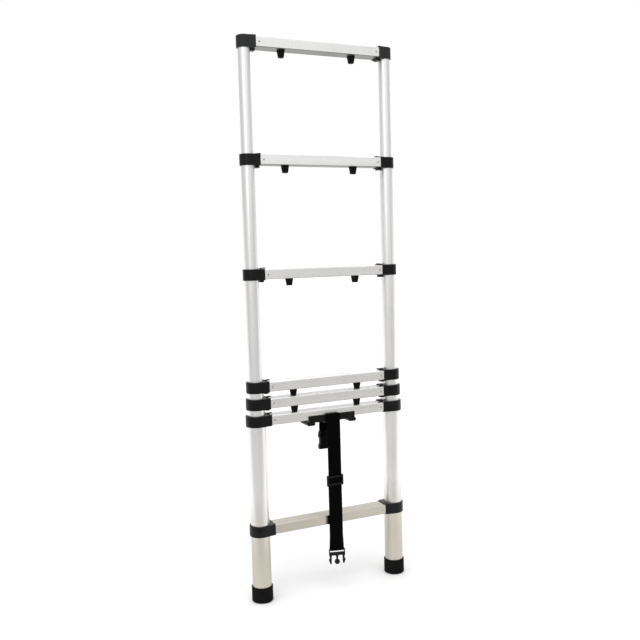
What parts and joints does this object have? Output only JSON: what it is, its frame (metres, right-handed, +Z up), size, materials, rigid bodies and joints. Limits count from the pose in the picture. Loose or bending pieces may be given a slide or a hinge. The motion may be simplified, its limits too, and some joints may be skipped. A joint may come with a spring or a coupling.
{
  "type": "telescoping ladder",
  "caption": "Telescoping aluminium ladder with round nested stile tubes, box rungs, plastic brackets with thumb latches, rubber feet and a webbing carry strap.",
  "frame": {"origin": "middle of the ladder's footprint, on the floor under the feet", "axes": "+Z up along the stiles, X across the ladder from stile to stile, -Y is the front"},
  "size_m": [0.473, 0.0665, 1.5056],
  "materials": {
    "satin_aluminium": "satin anodised extrusion",
    "black_plastic": "moulded, fine texture",
    "dark_grey_plastic": "moulded, fine texture",
    "latch_black": "moulded",
    "black_rubber": "matt",
    "black_webbing": "woven polyester"
  },
  "bodies": {
    "section_1": {"tube_1_left": "satin_aluminium", "tube_1_right": "satin_aluminium", "rung_1": "satin_aluminium", "rung_2": "satin_aluminium", "bracket_1_left": "black_plastic", "bracket_1_right": "black_plastic", "bracket_2_left": "black_plastic", "bracket_2_right": "black_plastic", "foot_left": "black_rubber", "foot_right": "black_rubber", "strap_saddle": "black_plastic", "strap_webbing": "black_webbing", "buckle_male": "black_plastic", "buckle_female": "black_plastic"},
    "slider": {"strap_slider": "black_plastic"},
    "section_2": {"tube_2_left": "satin_aluminium", "tube_2_right": "satin_aluminium", "rung_3": "satin_aluminium", "bracket_3_left": "black_plastic", "bracket_3_right": "black_plastic", "buffer_3_left": "black_rubber", "buffer_3_right": "black_rubber"},
    "section_3": {"tube_3_left": "satin_aluminium", "tube_3_right": "satin_aluminium", "rung_4": "satin_aluminium", "bracket_4_left": "black_plastic", "bracket_4_right": "black_plastic", "buffer_4_left": "black_rubber", "buffer_4_right": "black_rubber"},
    "section_4": {"tube_4_left": "satin_aluminium", "tube_4_right": "satin_aluminium", "rung_5": "satin_aluminium", "bracket_5_left": "black_plastic", "bracket_5_right": "black_plastic", "buffer_5_left": "black_rubber", "buffer_5_right": "black_rubber"},
    "section_5": {"tube_5_left": "satin_aluminium", "tube_5_right": "satin_aluminium", "rung_6": "satin_aluminium", "bracket_6_left": "black_plastic", "bracket_6_right": "black_plastic", "buffer_6_left": "black_rubber", "buffer_6_right": "black_rubber"},
    "section_6": {"tube_6_left": "satin_aluminium", "tube_6_right": "satin_aluminium", "rung_7": "satin_aluminium", "top_cap_left": "dark_grey_plastic", "top_cap_right": "dark_grey_plastic", "buffer_7_left": "black_rubber", "buffer_7_right": "black_rubber"},
    "latch_2_left": {"latch_2_left": "latch_black"},
    "latch_2_right": {"latch_2_right": "latch_black"},
    "latch_3_left": {"latch_3_left": "latch_black"},
    "latch_3_right": {"latch_3_right": "latch_black"},
    "latch_4_left": {"latch_4_left": "latch_black"},
    "latch_4_right": {"latch_4_right": "latch_black"},
    "latch_5_left": {"latch_5_left": "latch_black"},
    "latch_5_right": {"latch_5_right": "latch_black"},
    "latch_6_left": {"latch_6_left": "latch_black"},
    "latch_6_right": {"latch_6_right": "latch_black"}
  },
  "joints": [
    {"name": "slide_2", "type": "slide", "parent": "section_1", "child": "section_2", "axis": [0, 0, 1], "range_m": [0, 0.2547]},
    {"name": "slide_3", "type": "slide", "parent": "section_2", "child": "section_3", "axis": [0, 0, 1], "range_m": [0, 0.2547]},
    {"name": "slide_4", "type": "slide", "parent": "section_3", "child": "section_4", "axis": [0, 0, 1], "range_m": [-0.2547, 0]},
    {"name": "slide_5", "type": "slide", "parent": "section_4", "child": "section_5", "axis": [0, 0, 1], "range_m": [-0.2547, 0]},
    {"name": "slide_6", "type": "slide", "parent": "section_5", "child": "section_6", "axis": [0, 0, 1], "range_m": [-0.2547, 0]},
    {"name": "release_2_left", "type": "slide", "parent": "section_1", "child": "latch_2_left", "axis": [-1, 0, 0], "range_m": [-0.0012, 0]},
    {"name": "release_2_right", "type": "slide", "parent": "section_1", "child": "latch_2_right", "axis": [1, 0, 0], "range_m": [-0.0012, 0]},
    {"name": "release_3_left", "type": "slide", "parent": "section_2", "child": "latch_3_left", "axis": [-1, 0, 0], "range_m": [-0.0012, 0]},
    {"name": "release_3_right", "type": "slide", "parent": "section_2", "child": "latch_3_right", "axis": [1, 0, 0], "range_m": [-0.0012, 0]},
    {"name": "release_4_left", "type": "slide", "parent": "section_3", "child": "latch_4_left", "axis": [-1, 0, 0], "range_m": [-0.0012, 0.0023]},
    {"name": "release_4_right", "type": "slide", "parent": "section_3", "child": "latch_4_right", "axis": [1, 0, 0], "range_m": [-0.0012, 0.0023]},
    {"name": "release_5_left", "type": "slide", "parent": "section_4", "child": "latch_5_left", "axis": [-1, 0, 0], "range_m": [-0.0012, 0.0023]},
    {"name": "release_5_right", "type": "slide", "parent": "section_4", "child": "latch_5_right", "axis": [1, 0, 0], "range_m": [-0.0012, 0.0023]},
    {"name": "release_6_left", "type": "slide", "parent": "section_5", "child": "latch_6_left", "axis": [-1, 0, 0], "range_m": [-0.0012, 0.0023]},
    {"name": "release_6_right", "type": "slide", "parent": "section_5", "child": "latch_6_right", "axis": [1, 0, 0], "range_m": [-0.0012, 0.0023]},
    {"name": "slider_slide", "type": "slide", "parent": "section_1", "child": "slider", "axis": [0, 0, 1], "range_m": [-0.14, 0.06]}
  ]
}
